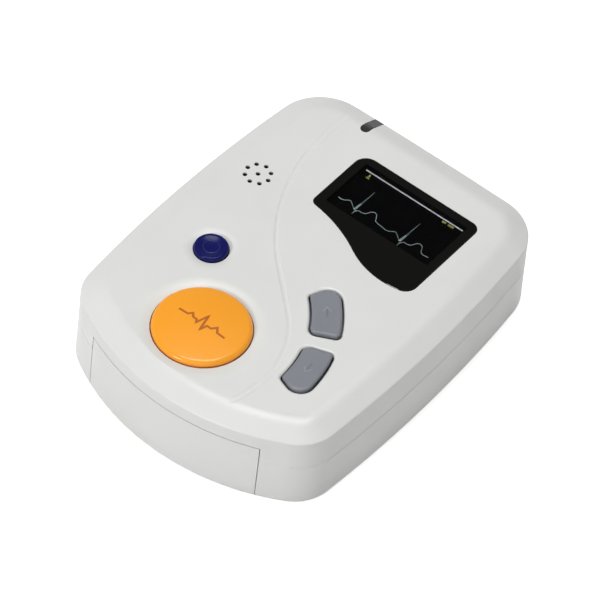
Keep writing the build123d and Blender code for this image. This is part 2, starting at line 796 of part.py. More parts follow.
with BuildPart() as display_connector:
    with BuildSketch(Plane.XY.offset(board_top)):
        with Locations((screen_x, connector_y)):
            Rectangle(connector_width, connector_depth)
    extrude(amount=connector_height)
    with BuildSketch(Plane.XZ.offset(-connector_y - connector_depth / 2)):
        with Locations((screen_x, board_top + connector_height / 2)):
            Rectangle(flex_width, flex_thickness)
    extrude(amount=connector_slot, mode=Mode.SUBTRACT)
display_connector.part.label = "display_connector"
export_step(display_connector.part, "parts/display_connector.step")

# Circuit board: a slice of the case's form, hung from the ceiling and cut round the case bosses
with BuildPart() as main_board:
    add(case_form(board_inset))
    split(bisect_by=Plane.XY.offset(board_bottom), keep=Keep.TOP)
    split(bisect_by=Plane.XY.offset(board_top), keep=Keep.BOTTOM)
    with BuildSketch(Plane.XY.offset(board_bottom)):
        with Locations(case_screw_places):
            Circle(case_boss_radius + boss_gap)
        with Locations(board_screw_places):
            Circle(board_screw_radius + screw_gap)
    extrude(amount=board_thickness, mode=Mode.SUBTRACT)
main_board.part.label = "main_board"
export_step(main_board.part, "parts/main_board.step")

# Chips: the processor, the heart signal amplifier and the voltage regulator
with BuildPart() as board_chips:
    with BuildSketch(Plane.XY.offset(board_top)):
        with Locations(place("processor")):
            Rectangle(processor_side, processor_side)
        with Locations(place("amplifier")):
            Rectangle(amplifier_side, amplifier_side)
        with Locations(place("regulator")):
            Rectangle(*regulator_size)
    extrude(amount=chip_height)
    chamfer(board_chips.faces().group_by(Axis.Z)[-1].edges(), chip_edge)
board_chips.part.label = "board_chips"
export_step(board_chips.part, "parts/board_chips.step")

# Resistors and capacitors
with BuildPart() as board_passives:
    with BuildSketch(Plane.XY.offset(board_top)):
        for group, count in (("filters", filter_count), ("decoupling", decoupling_count)):
            with Locations(place(group)):
                with GridLocations(*passive_pitch, *count):
                    Rectangle(passive_size[0], passive_size[1])
    extrude(amount=passive_size[2])
board_passives.part.label = "board_passives"
export_step(board_passives.part, "parts/board_passives.step")

# Push switches: a housing on the board and a stem that the button above pushes down
for switch_name, switch_at in switch_places.items():
    with BuildPart() as housing:
        with BuildSketch(Plane.XY.offset(board_top)):
            with Locations(switch_at):
                Rectangle(switch_side, switch_side)
        extrude(amount=switch_height)
        chamfer(housing.faces().sort_by(Axis.Z)[-1].edges(), switch_edge)
        with BuildSketch(Plane.XY.offset(board_top)):
            with Locations(switch_at):
                with GridLocations(switch_side, switch_side - 2 * lead_width, 2, 2):
                    Rectangle(2 * lead_reach, lead_width)
        extrude(amount=lead_thickness)
        with BuildSketch(Plane.XY.offset(board_top + switch_floor)):
            with Locations(switch_at):
                Circle(stem_radius + stem_gap)
        extrude(amount=switch_height, mode=Mode.SUBTRACT)
    housing.part.label = f"{switch_name}_switch"
    export_step(housing.part, f"parts/{switch_name}_switch.step")

    with BuildPart() as stem:
        with BuildSketch(Plane.XY.offset(board_top + switch_height - stem_sink)):
            with Locations(switch_at):
                Circle(stem_radius)
        extrude(amount=stem_top - board_top - switch_height + stem_sink)
        fillet(stem.faces().sort_by(Axis.Z)[-1].edges(), stem_gap)
    stem.part.label = f"{switch_name}_stem"
    export_step(stem.part, f"parts/{switch_name}_stem.step")

# Event button: a large pillow cap, hollow below, with a post down to its switch
mark_x, mark_y = place("mark")
with BuildPart() as mark_button:
    with BuildSketch(side_plane(mark_x, mark_y)) as mark_profile:
        mark_edge = case_height + mark_edge_rise
        mark_hollow = mark_radius - button_wall
        mark_roof = mark_edge - button_wall
        with BuildLine():
            crown = TangentArc((0, case_height + mark_rise), (mark_radius, mark_edge), tangent=(1, 0))
            Polyline(
                crown @ 1,
                (mark_radius, flange_top),
                (mark_radius + flange_reach, flange_top),
                (mark_radius + flange_reach, flange_low),
                (mark_hollow, flange_low),
                (mark_hollow, mark_roof),
                (post_radius, mark_roof),
                (post_radius, stem_top),
                (0, stem_top),
                crown @ 0,
            )
        make_face()
        fillet(mark_profile.vertices().sort_by_distance((mark_radius, mark_edge))[0], mark_edge_radius)
    revolve(axis=Axis((mark_x, mark_y, 0), (0, 0, 1)))
mark_button.part.label = "mark_button"
export_step(mark_button.part, "parts/mark_button.step")

# Round button: a raised rim round a shallow hollow
enter_x, enter_y = place("enter")
with BuildPart() as enter_button:
    with BuildSketch(side_plane(enter_x, enter_y)) as enter_profile:
        rim_top = case_height + enter_rise
        with BuildLine():
            rim_inner = (enter_radius - enter_rim, rim_top)
            hollow = TangentArc((0, rim_top - enter_hollow), rim_inner, tangent=(1, 0))
            Polyline(
                hollow @ 1,
                (enter_radius, rim_top),
                (enter_radius, flange_top),
                (enter_radius + flange_reach, flange_top),
                (enter_radius + flange_reach, flange_low),
                (post_radius, flange_low),
                (post_radius, stem_top),
                (0, stem_top),
                hollow @ 0,
            )
        make_face()
        rim_corner = (enter_radius, rim_top)
        fillet(enter_profile.vertices().sort_by_distance(rim_corner)[0], enter_edge_radius)
    revolve(axis=Axis((enter_x, enter_y, 0), (0, 0, 1)))
enter_button.part.label = "enter_button"
export_step(enter_button.part, "parts/enter_button.step")

# Keys: curved caps with a flange under the ceiling and a post down to the switch
for key_name, key_plan in key_plans.items():
    with BuildPart() as key:
        with BuildSketch(Plane.XY.offset(flange_low)):
            add(key_plan)
        extrude(amount=case_height + key_rise - flange_low)
        fillet(key.faces().sort_by(Axis.Z)[-1].edges(), key_edge_radius)
        with BuildSketch(Plane.XY.offset(flange_low)):
            add(key_plan)
            offset(amount=flange_reach)
        extrude(amount=flange_thickness)
        with BuildSketch(Plane.XY.offset(flange_low)):
            add(key_sector(*key_angles[key_name], button_wall)[-1])
        extrude(amount=case_height + key_rise - button_wall - flange_low, mode=Mode.SUBTRACT)
        with BuildSketch(Plane.XY.offset(stem_top)):
            with Locations(key_middles[key_name]):
                Circle(post_radius)
        extrude(amount=case_height + key_rise - button_wall / 2 - stem_top)
    key.part.label = f"{key_name}_key"
    export_step(key.part, f"parts/{key_name}_key.step")

# Speaker on the board, and the fine mesh under the sound holes
speaker_x, speaker_y = place("speaker")
speaker_top = ceiling - mesh_thickness
with BuildPart() as speaker:
    with BuildSketch(side_plane(speaker_x, speaker_y)):
        with BuildLine():
            cone_low = speaker_top - speaker_cone_depth
            cone = Line((speaker_radius - speaker_rim, speaker_top), (speaker_dome_radius, cone_low))
            dome = TangentArc((0, speaker_top - speaker_cone_depth / 2), cone @ 1, tangent=(1, 0))
            Polyline(
                cone @ 0,
                (speaker_radius, speaker_top),
                (speaker_radius, board_top),
                (0, board_top),
                dome @ 0,
            )
        make_face()
    revolve(axis=Axis((speaker_x, speaker_y, 0), (0, 0, 1)))
speaker.part.label = "speaker"
export_step(speaker.part, "parts/speaker.step")

with BuildPart() as speaker_mesh:
    with BuildSketch(Plane.XY.offset(speaker_top)):
        with Locations((speaker_x, speaker_y)):
            Circle(speaker_radius - mesh_margin / 2)
    extrude(amount=mesh_thickness)
speaker_mesh.part.label = "speaker_mesh"
export_step(speaker_mesh.part, "parts/speaker_mesh.step")

# Indicator: the light guide in the rear edge and the lamp under its foot
with BuildPart() as indicator_guide:
    with BuildSketch(Plane.XY.offset(case_height - indicator_depth + indicator_gap)):
        add(guide_plan.sketch)
    extrude(amount=indicator_depth + overrun)
    add(body_form.part, mode=Mode.INTERSECT)
    add(cavity.part, mode=Mode.SUBTRACT)
    with BuildSketch(Plane.XY.offset(board_top + lamp_size[2] + lamp_gap)):
        with Locations((indicator_x, indicator_y)):
            Circle(guide_radius)
    extrude(amount=ceiling + wall / 2 - board_top - lamp_size[2] - lamp_gap)
indicator_guide.part.label = "indicator_guide"
export_step(indicator_guide.part, "parts/indicator_guide.step")

with BuildPart() as indicator_lamp:
    with BuildSketch(Plane.XY.offset(board_top)):
        with Locations((indicator_x, indicator_y)):
            Rectangle(lamp_size[0], lamp_size[1])
    extrude(amount=lamp_size[2])
indicator_lamp.part.label = "indicator_lamp"
export_step(indicator_lamp.part, "parts/indicator_lamp.step")

# Lead socket: a shroud with a polarising channel, and its pins
pin_xs = [(k - (pin_column_count - 1) / 2) * pin_pitch for k in range(pin_column_count)]
pin_zs = [socket_z + (k - (pin_row_count - 1) / 2) * pin_pitch for k in range(pin_row_count)]
with BuildPart() as lead_socket:
    with BuildSketch(Plane.XZ.offset(-socket_mouth)):
        with Locations((0, socket_z)):
            RectangleRounded(socket_width + 2 * socket_wall, socket_height + 2 * socket_wall, socket_edge)
    extrude(amount=socket_mouth - socket_rear)
    with BuildSketch(Plane.XZ.offset(-socket_mouth)):
        with Locations((0, socket_z)):
            Rectangle(socket_width, socket_height)
        with Locations((0, socket_z - socket_height / 2)):
            Rectangle(socket_key_width, 2 * socket_key_depth)
    extrude(amount=socket_depth, mode=Mode.SUBTRACT)
    with BuildSketch(Plane.XZ.offset(-socket_inner)):
        for pin_z in pin_zs:
            for pin_x in pin_xs:
                with Locations((pin_x, pin_z)):
                    Rectangle(pin_side, pin_side)
    extrude(amount=socket_back, mode=Mode.SUBTRACT)
lead_socket.part.label = "lead_socket"
export_step(lead_socket.part, "parts/lead_socket.step")

with BuildPart() as socket_pins:
    for row, pin_z in enumerate(pin_zs):
        tail_y = socket_rear - pin_tail - (pin_row_count - 1 - row) * pin_pitch
        for pin_x in pin_xs:
            with BuildSketch(Plane.YZ.offset(pin_x - pin_side / 2)):
                with BuildLine() as pin_line:
                    Polyline(
                        (socket_inner + pin_reach, pin_z),
                        (tail_y, pin_z),
                        (tail_y, board_bottom),
                    )
                trace(pin_line.line, line_width=pin_side)
            extrude(amount=pin_side)
socket_pins.part.label = "socket_pins"
export_step(socket_pins.part, "parts/socket_pins.step")

# Cells: the left one's raised end is at the rear, the right one's at the front
cell_middle = (cell_front + cell_rear) / 2
for cell_name, cell_at, facing in (("left_cell", -cell_x, 1), ("right_cell", cell_x, -1)):
    with BuildPart() as cell:
        with BuildSketch(Plane.XY.offset(cell_z)) as cell_profile:
            shoulder = cell_middle + facing * (cell_length / 2 - cell_nub_length)
            foot = cell_middle - facing * cell_length / 2
            groove_start = shoulder - facing * cell_groove_place
            groove_end = groove_start - facing * cell_groove_width
            waist = cell_at + cell_radius - cell_groove_depth
            with BuildLine():
                Polyline(
                    (cell_at, shoulder + facing * cell_nub_length),
                    (cell_at + cell_nub_radius, shoulder + facing * cell_nub_length),
                    (cell_at + cell_nub_radius, shoulder),
                    (cell_at + cell_radius, shoulder),
                    (cell_at + cell_radius, groove_start),
                    (waist, (groove_start + groove_end) / 2),
                    (cell_at + cell_radius, groove_end),
                    (cell_at + cell_radius, foot),
                    (cell_at, foot),
                    close=True,
                )
            make_face()
            for end in (shoulder, foot):
                corner = cell_profile.vertices().sort_by_distance((cell_at + cell_radius, end))[0]
                fillet(corner, cell_edge_radius)
        revolve(axis=Axis((cell_at, 0, cell_z), (0, 1, 0)))
    cell.part.label = cell_name
    export_step(cell.part, f"parts/{cell_name}.step")

# Contacts: a flat link across the front of both cells, and a folded leaf behind each
with BuildPart() as contact_link:
    with BuildSketch(Plane.XZ.offset(-bay_front - bay_front_wall - link_thickness)):
        with Locations((0, cell_z)):
            RectangleRounded(2 * cell_x + contact_width, contact_height, contact_bend_radius)
    extrude(amount=link_thickness)
contact_link.part.label = "contact_link"
export_step(contact_link.part, "parts/contact_link.step")

for contact_name, contact_x in (("left_contact", -cell_x), ("right_contact", cell_x)):
    with BuildPart() as contact:
        with BuildSketch(Plane.YZ.offset(contact_x - contact_width / 2)):
            with BuildLine() as leaf_line:
                leaf_back = bay_rear - contact_thickness / 2
                FilletPolyline(
                    (leaf_back, cell_z - contact_height / 2),
                    (leaf_back, cell_z + contact_height / 2),
                    (leaf_back - contact_fold, cell_z + contact_height / 2),
                    (cell_rear + contact_thickness / 2, cell_z),
                    (leaf_back - contact_fold, cell_z - contact_height / 2),
                    radius=contact_bend_radius,
                )
            trace(leaf_line.line, line_width=contact_thickness)
        extrude(amount=contact_width)
    contact.part.label = contact_name
    export_step(contact.part, f"parts/{contact_name}.step")


def screw(x, y, seat, pitch_radius, length, head_radius, head_height, cross_span, cross_sink):
    """A pan-head screw with a cross recess, its head below the seat and its point upwards."""
    with BuildPart() as fastener:
        with BuildSketch(Plane.XY.offset(seat - head_height)):
            with Locations((x, y)):
                Circle(head_radius)
        extrude(amount=head_height)
        fillet(fastener.faces().sort_by(Axis.Z)[0].edges(), head_edge_radius)
        with BuildSketch(Plane.XY.offset(seat)):
            with Locations((x, y)):
                Circle(pitch_radius)
        extrude(amount=length)
        chamfer(fastener.faces().sort_by(Axis.Z)[-1].edges(), pitch_radius / 2)
        with BuildSketch(Plane.XY.offset(seat - head_height)):
            with Locations((x, y)):
                Rectangle(cross_span, cross_width)
                Rectangle(cross_width, cross_span)
        extrude(amount=cross_sink, mode=Mode.SUBTRACT)
    return fastener.part


case_screw_list = [
    screw(x, y, case_well_depth, case_screw_radius, case_screw_length,
          case_head_radius, case_head_height, cross_length, cross_depth)
    for x, y in case_screw_places
]
with BuildPart() as case_screws:
    add(case_screw_list)
case_screws.part.label = "case_screws"
export_step(case_screws.part, "parts/case_screws.step")

board_screw_list = [
    screw(x, y, board_bottom, board_screw_radius, board_screw_length,
          board_head_radius, board_head_height, board_cross_length, board_cross_depth)
    for x, y in board_screw_places
]
with BuildPart() as board_screws:
    add(board_screw_list)
board_screws.part.label = "board_screws"
export_step(board_screws.part, "parts/board_screws.step")
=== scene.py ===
# The looks of a portable ECG machine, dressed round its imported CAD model, in metres and in the CAD's frame:
# +X to the right of a user who reads the screen, +Y towards the screen end, +Z up through the top face.
import json
from math import cos, pi, radians, sin

import bmesh
import bpy
from mathutils import Matrix, Vector


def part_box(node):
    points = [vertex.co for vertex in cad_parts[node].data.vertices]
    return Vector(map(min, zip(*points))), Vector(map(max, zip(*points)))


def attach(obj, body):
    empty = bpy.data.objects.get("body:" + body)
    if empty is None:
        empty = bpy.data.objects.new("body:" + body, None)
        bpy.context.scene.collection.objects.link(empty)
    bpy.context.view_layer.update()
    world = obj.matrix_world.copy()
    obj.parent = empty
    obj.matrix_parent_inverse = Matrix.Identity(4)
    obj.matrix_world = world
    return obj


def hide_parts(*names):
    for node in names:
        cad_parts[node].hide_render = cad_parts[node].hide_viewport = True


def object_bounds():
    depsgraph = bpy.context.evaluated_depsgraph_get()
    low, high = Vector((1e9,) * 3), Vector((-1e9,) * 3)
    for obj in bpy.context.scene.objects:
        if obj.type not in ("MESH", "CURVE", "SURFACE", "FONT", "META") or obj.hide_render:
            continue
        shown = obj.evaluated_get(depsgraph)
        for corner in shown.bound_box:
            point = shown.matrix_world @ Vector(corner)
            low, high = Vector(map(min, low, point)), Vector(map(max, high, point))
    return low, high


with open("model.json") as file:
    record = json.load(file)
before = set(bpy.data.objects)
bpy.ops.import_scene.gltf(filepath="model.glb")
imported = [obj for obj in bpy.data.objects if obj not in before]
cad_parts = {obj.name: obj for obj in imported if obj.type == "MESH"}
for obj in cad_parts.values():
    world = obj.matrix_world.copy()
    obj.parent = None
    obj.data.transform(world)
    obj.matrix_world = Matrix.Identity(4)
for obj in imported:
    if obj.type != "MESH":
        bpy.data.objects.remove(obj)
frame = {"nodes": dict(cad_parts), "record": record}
cad_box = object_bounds()
NODES = frame["nodes"]

MM = 0.001

# The photograph's camera, found by fitting the round buttons, the sound holes and the window's edges
FRAME_PX = 600
FOCAL_PX = 4500
SENSOR = 36.0                       # millimetres of film
VIEW_AZIMUTH = radians(33.886)
VIEW_ELEVATION = radians(49.172)
VIEW_ROLL = radians(6.287)
VIEW_DISTANCE = 765.2 * MM
AIM = Vector((-3.5, -22.82)) * MM   # a place on the top face, near the middle of the event button
AIM_PX = (201.504, 329.025)         # where it is seen


def middle(node):
    """The middle of a CAD node's box."""
    low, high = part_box(node)
    return (low + high) / 2


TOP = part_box("screen_window")[1].z
MARK = middle("mark_button")
ENTER = middle("enter_button")
KEY_CENTRE = Vector((-9.854, -21.822)) * MM     # of the ring that both curved keys follow
WINDOW_LOW, WINDOW_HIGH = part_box("screen_window")
GLASS_LOW, GLASS_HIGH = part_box("oled_display")


# Materials. Where a value is a pair, a pattern passes from the first to the second.

# Moulded plastic
DRIFT_SIZE = 16 * MM            # patches of slightly different colour
GLOSS_PATCH = 4 * MM            # patches of slightly different gloss
GLOSS_SPREAD = 0.12
MOULD_GRAIN = 0.25 * MM
MOULD_RELIEF = 0.002 * MM
FINE_RELIEF = 0.0002 * MM
GUIDE_RELIEF = 0.0005 * MM
COAT_ROUGHNESS = 0.07
CREVICE_SAMPLES = 8

# Drawn metal
DRAWN_GRAIN = 0.2 * MM
DRAWN_STRETCH = (1, 1, 8)
DRAWN_RELIEF = 0.003 * MM
DRAWN_SHADES = (0.82, 1.0)      # shares of the metal's colour
DRAWN_GLOSS = (0.8, 1.25)       # shares of its roughness

# Lit strokes and the lens
PIXEL_DRIFT = 0.6 * MM
PIXEL_DIM = 0.85                # the least of a stroke's colour, as a share
PIXEL_ROUGHNESS = 0.4
SMUDGE_SIZE = 5 * MM
SMUDGE_ROUGHNESS = (0.0, 0.02)
LENS_TINTS = ((0.93, 0.94, 0.95), (0.98, 0.98, 0.98))
ACRYLIC_IOR = 1.49

# Woven foam and mesh
THREAD_PITCH = 0.2 * MM
THREAD_RELIEF = 0.03 * MM
THREAD_EDGES = (0.4, 0.9)       # of the weave's wave, between which a gap passes into a thread
# Painted shade in the gaps between threads
THREAD_GAP_SHADE = 0.3                # the colour of a gap, as a share
THREAD_ROUGHNESS = 0.8
WAVE_PERIOD = pi / 10           # of a wave texture whose scale is 1


def new_material(name):
    """A material that has one plain shader. Gives the material, its node tree and the shader."""
    material = bpy.data.materials.new(name)
    material.use_nodes = True
    tree = material.node_tree
    tree.nodes.clear()
    output = tree.nodes.new("ShaderNodeOutputMaterial")
    shader = tree.nodes.new("ShaderNodeBsdfPrincipled")
    tree.links.new(shader.outputs["BSDF"], output.inputs["Surface"])
    return material, tree, shader


def place_noise(tree, size, detail=2.0, stretch=(1, 1, 1)):
    """Noise fixed to the object, with features of about this size in metres."""
    place = tree.nodes.new("ShaderNodeTexCoord")
    scale = tree.nodes.new("ShaderNodeMapping")
    scale.inputs["Scale"].default_value = stretch
    noise = tree.nodes.new("ShaderNodeTexNoise")
    noise.inputs["Scale"].default_value = 1 / size
    noise.inputs["Detail"].default_value = detail
    tree.links.new(place.outputs["Object"], scale.inputs["Vector"])
    tree.links.new(scale.outputs["Vector"], noise.inputs["Vector"])
    return noise.outputs["Fac"]


def colour_mix(tree, factor):
    """A node that passes from its colour A to its colour B as the factor rises."""
    mix = tree.nodes.new("ShaderNodeMix")
    mix.data_type = "RGBA"
    tree.links.new(factor, mix.inputs["Factor"])
    return mix


def ramp(tree, value, low, high, start=0.35, end=0.65):
    """The value, spread from low to high, which are two numbers or two colours."""
    node = tree.nodes.new("ShaderNodeMapRange")
    node.inputs["From Min"].default_value = start
    node.inputs["From Max"].default_value = end
    tree.links.new(value, node.inputs["Value"])
    if isinstance(low, (int, float)):
        node.inputs["To Min"].default_value = low
        node.inputs["To Max"].default_value = high
        return node.outputs["Result"]
    mix = colour_mix(tree, node.outputs["Result"])
    mix.inputs["A"].default_value = (*low, 1)
    mix.inputs["B"].default_value = (*high, 1)
    return mix.outputs["Result"]


def largest(tree, values):
    """The largest of several values."""
    result = values[0]
    for value in values[1:]:
        join = tree.nodes.new("ShaderNodeMath")
        join.operation = "MAXIMUM"
        tree.links.new(result, join.inputs[0])
        tree.links.new(value, join.inputs[1])
        result = join.outputs["Value"]
    return result


def add_bump(tree, shader, value, height):
    """Relief of this height in metres."""
    bump = tree.nodes.new("ShaderNodeBump")
    bump.inputs["Distance"].default_value = height
    bump.inputs["Strength"].default_value = 1.0
    tree.links.new(value, bump.inputs["Height"])
    tree.links.new(bump.outputs["Normal"], shader.inputs["Normal"])


def shade(colour, factor):
    """The colour, made darker or lighter."""
    return tuple(channel * factor for channel in colour)


def moulded(name, colour, gloss, relief=MOULD_RELIEF, spread=0.03, coat=0.0, sheen=0.5):
    """Moulded plastic: slow drift of colour, uneven gloss and a fine spark-eroded grain."""
    material, tree, shader = new_material(name)
    drift = place_noise(tree, DRIFT_SIZE, detail=1.0)
    tint = ramp(tree, drift, shade(colour, 1 - spread), shade(colour, 1 + spread))
    tree.links.new(tint, shader.inputs["Base Color"])
    patches = place_noise(tree, GLOSS_PATCH, detail=4.0)
    polish = ramp(tree, patches, gloss * (1 - GLOSS_SPREAD), gloss * (1 + GLOSS_SPREAD))
    tree.links.new(polish, shader.inputs["Roughness"])
    if relief:
        add_bump(tree, shader, place_noise(tree, MOULD_GRAIN, detail=3.0), relief)
    shader.inputs["Specular IOR Level"].default_value = sheen
    shader.inputs["Coat Weight"].default_value = coat
    shader.inputs["Coat Roughness"].default_value = COAT_ROUGHNESS
    return material


def shade_crevices(material, depth, shaded, start, end):
    """Paints shade into the colour: it passes into the shaded one in holes and gaps, which see little of what
    is around.
    """
    tree = material.node_tree
    shader = next(node for node in tree.nodes if node.type == "BSDF_PRINCIPLED")
    plain = shader.inputs["Base Color"].links[0].from_socket
    reach = tree.nodes.new("ShaderNodeAmbientOcclusion")
    reach.samples = CREVICE_SAMPLES
    reach.inputs["Distance"].default_value = depth
    mix = colour_mix(tree, ramp(tree, reach.outputs["AO"], 0.0, 1.0, start, end))
    mix.inputs["A"].default_value = (*shaded, 1)
    tree.links.new(plain, mix.inputs["B"])
    tree.links.new(mix.outputs["Result"], shader.inputs["Base Color"])


def plated(name, colour, gloss):
    """Plated or drawn metal: fine lines along the draw and uneven polish."""
    material, tree, shader = new_material(name)
    shader.inputs["Metallic"].default_value = 1.0
    lines = place_noise(tree, DRAWN_GRAIN, detail=3.0, stretch=DRAWN_STRETCH)
    tint = ramp(tree, lines, *(shade(colour, share) for share in DRAWN_SHADES))
    tree.links.new(tint, shader.inputs["Base Color"])
    polish = ramp(tree, lines, *(gloss * share for share in DRAWN_GLOSS))
    tree.links.new(polish, shader.inputs["Roughness"])
    add_bump(tree, shader, lines, DRAWN_RELIEF)
    return material


def lit(name, colour, strength):
    """Lit strokes of the display: colour drifts a little along them, as pixels do."""
    material, tree, shader = new_material(name)
    drift = place_noise(tree, PIXEL_DRIFT, detail=1.0)
    glow = ramp(tree, drift, shade(colour, PIXEL_DIM), colour)
    tree.links.new(glow, shader.inputs["Emission Color"])
    tree.links.new(glow, shader.inputs["Base Color"])
    shader.inputs["Emission Strength"].default_value = strength
    shader.inputs["Roughness"].default_value = PIXEL_ROUGHNESS
    return material


def clear_lens(name):
    """Clear acrylic with the faintest smudges."""
    material, tree, shader = new_material(name)
    smudge = place_noise(tree, SMUDGE_SIZE, detail=4.0)
    tree.links.new(ramp(tree, smudge, *SMUDGE_ROUGHNESS), shader.inputs["Roughness"])
    tree.links.new(ramp(tree, smudge, *LENS_TINTS), shader.inputs["Base Color"])
    shader.inputs["Transmission Weight"].default_value = 1.0
    shader.inputs["IOR"].default_value = ACRYLIC_IOR
    return material


def woven(name, colour, pitch):
    """A fine woven mesh: crossing threads from two waves, with painted shade in the gaps between them."""
    material, tree, shader = new_material(name)
    place = tree.nodes.new("ShaderNodeTexCoord")
    waves = []
    for direction in ("X", "Y"):
        wave = tree.nodes.new("ShaderNodeTexWave")
        wave.wave_type = "BANDS"
        wave.bands_direction = direction
        wave.inputs["Scale"].default_value = WAVE_PERIOD / pitch
        tree.links.new(place.outputs["Object"], wave.inputs["Vector"])
        waves.append(wave.outputs["Fac"])
    weave = largest(tree, waves)
    threads = ramp(tree, weave, shade(colour, THREAD_GAP_SHADE), colour, *THREAD_EDGES)
    tree.links.new(threads, shader.inputs["Base Color"])
    add_bump(tree, shader, weave, THREAD_RELIEF)
    shader.inputs["Roughness"].default_value = THREAD_ROUGHNESS
    return material


SHELL_WHITE = (0.715, 0.722, 0.700)
BLACK_INK = (0.0072, 0.0072, 0.0068)

MATERIALS = {
    "shell": moulded("shell", SHELL_WHITE, 0.36, spread=0.010, sheen=0.4),
    # The shell's white, with painted shade in its sound holes and gaps
    "pierced_shell_painted_shade": moulded("pierced_shell_painted_shade", SHELL_WHITE, 0.36, spread=0.010, sheen=0.4),
    "event_orange": moulded("event_orange", (0.96, 0.370, 0.022), 0.42, spread=0.008, coat=0.40, sheen=0.2),
    "navy": moulded("navy", (0.0084, 0.0108, 0.098), 0.20, spread=0.02, coat=0.03, sheen=0.10),
    "key_grey": moulded("key_grey", (0.215, 0.222, 0.252), 0.40, spread=0.02, coat=0.15, sheen=0.35),
    "window": moulded("window_border", BLACK_INK, 0.07, relief=FINE_RELIEF, sheen=0.4),
    "display_glass": moulded("display_glass", (0.0004, 0.0006, 0.0008), 0.10, relief=0.0, sheen=0.0),
    "black_plastic": moulded("black_plastic", (0.018, 0.018, 0.019), 0.42),
    "foam": woven("foam", (0.06, 0.06, 0.06), THREAD_PITCH),
    "board_green": moulded("board_green", (0.012, 0.10, 0.035), 0.30, spread=0.12),
    "flex_amber": moulded("flex_amber", (0.42, 0.17, 0.025), 0.28),
    "guide": moulded("guide", (0.034, 0.034, 0.036), 0.20, relief=GUIDE_RELIEF, sheen=0.35),
    "lamp_white": moulded("lamp_white", (0.75, 0.74, 0.62), 0.40),
    "ceramic": moulded("ceramic", (0.28, 0.21, 0.14), 0.50),
    "spring_steel": plated("spring_steel", (0.62, 0.61, 0.58), 0.28),
    "contact_gold": plated("contact_gold", (0.83, 0.62, 0.28), 0.22),
    "screw_steel": plated("screw_steel", (0.52, 0.52, 0.53), 0.30),
    "cell_jacket": moulded("cell_jacket", (0.030, 0.034, 0.040), 0.24, coat=0.4),
}

# Painted shade: the shell's colour passes into near black in its sound holes and gaps
HOLE_REACH = 1.6 * MM
HOLE_PAINTED_SHADE = (0.012, 0.012, 0.012)
# Painted shade: the event button's orange passes into dark red round its rim
RIM_REACH = 0.8 * MM
RIM_PAINTED_SHADE = (0.50, 0.055, 0.006)
shade_crevices(MATERIALS["pierced_shell_painted_shade"], HOLE_REACH, HOLE_PAINTED_SHADE, start=0.12, end=0.48)
shade_crevices(MATERIALS["event_orange"], RIM_REACH, RIM_PAINTED_SHADE, start=0.40, end=0.80)


def dress(thing, material):
    """Gives every face of an object one material."""
    thing.data.materials.clear()
    thing.data.materials.append(material)


def dress_cad_nodes():
    """Each CAD node gets the material of its slot in the record."""
    for entry in frame["record"]["subparts"]:
        dress(NODES[entry["node"]], MATERIALS[entry["material_slot"]])
    # The top shell gets the white with painted shade in its sound holes and gaps
    dress(NODES["top_shell"], MATERIALS["pierced_shell_painted_shade"])


dress_cad_nodes()


# Pieces

def new_object(name, data):
    """An object in the scene."""
    thing = bpy.data.objects.new(name, data)
    bpy.context.scene.collection.objects.link(thing)
    return thing


def new_mesh(name, grid):
    """The mesh that a grid of corners and faces comes to. The grid is used up."""
    mesh = bpy.data.meshes.new(name)
    grid.to_mesh(mesh)
    grid.free()
    return mesh


def evaluated_mesh(thing):
    """The mesh that an object comes to with its cut or its thickness."""
    bpy.context.view_layer.update()
    return bpy.data.meshes.new_from_object(thing.evaluated_get(bpy.context.evaluated_depsgraph_get()))


def join_loops(grid, near, far):
    """Faces between two loops of four corners each."""
    for k in range(4):
        grid.faces.new((near[k], near[(k + 1) % 4], far[(k + 1) % 4], far[k]))


def new_piece(name, mesh, material, body):
    """An object with one material, which moves with a body."""
    thing = new_object(name, mesh)
    dress(thing, material)
    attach(thing, body)
    return thing


def box_mesh(name, low, high):
    """A box between two corners."""
    grid = bmesh.new()
    bmesh.ops.create_cube(grid, size=1.0)
    size = Vector(high) - Vector(low)
    bmesh.ops.scale(grid, vec=size, verts=grid.verts)
    bmesh.ops.translate(grid, vec=(Vector(high) + Vector(low)) / 2, verts=grid.verts)
    return new_mesh(name, grid)


def cut_copy(name, source, cutter, operation):
    """A copy of a mesh, cut by or kept inside another mesh."""
    thing = new_object(name, source.data.copy())
    tool = new_object(name + "_tool", cutter)
    step = thing.modifiers.new("cut", "BOOLEAN")
    step.object = tool
    step.operation = operation
    step.solver = "EXACT"
    mesh = evaluated_mesh(thing)
    bpy.data.objects.remove(thing)
    bpy.data.objects.remove(tool)
    return mesh


def stroke(name, points, width, material, body):
    """A thin round line through points."""
    curve = bpy.data.curves.new(name, "CURVE")
    curve.dimensions = "3D"
    curve.bevel_depth = width / 2
    curve.bevel_resolution = 2
    curve.use_fill_caps = True
    line = curve.splines.new("POLY")
    line.points.add(len(points) - 1)
    for point, place in zip(line.points, points):
        point.co = (*place, 1)
    holder = new_object(name, curve)
    mesh = evaluated_mesh(holder)
    bpy.data.objects.remove(holder)
    return new_piece(name, mesh, material, body)


# Window: a black border printed round the clear view, over the display
LIT_SIZE = Vector((21.74, 10.86)) * MM
GLASS_EDGE = 2.1 * MM           # from the display's rear edge to its lit area
LIT_MIDDLE = Vector(((GLASS_LOW.x + GLASS_HIGH.x) / 2, GLASS_HIGH.y - GLASS_EDGE - LIT_SIZE.y / 2))
VIEW_MARGIN = 0.35 * MM         # of the clear view round the lit area
VIEW_OVERRUN = 1 * MM           # of the cut over both faces of the window
MASK_WIDTH = 0.35 * MM
MASK_GAP = 0.03 * MM            # between the mask and the glass on either side


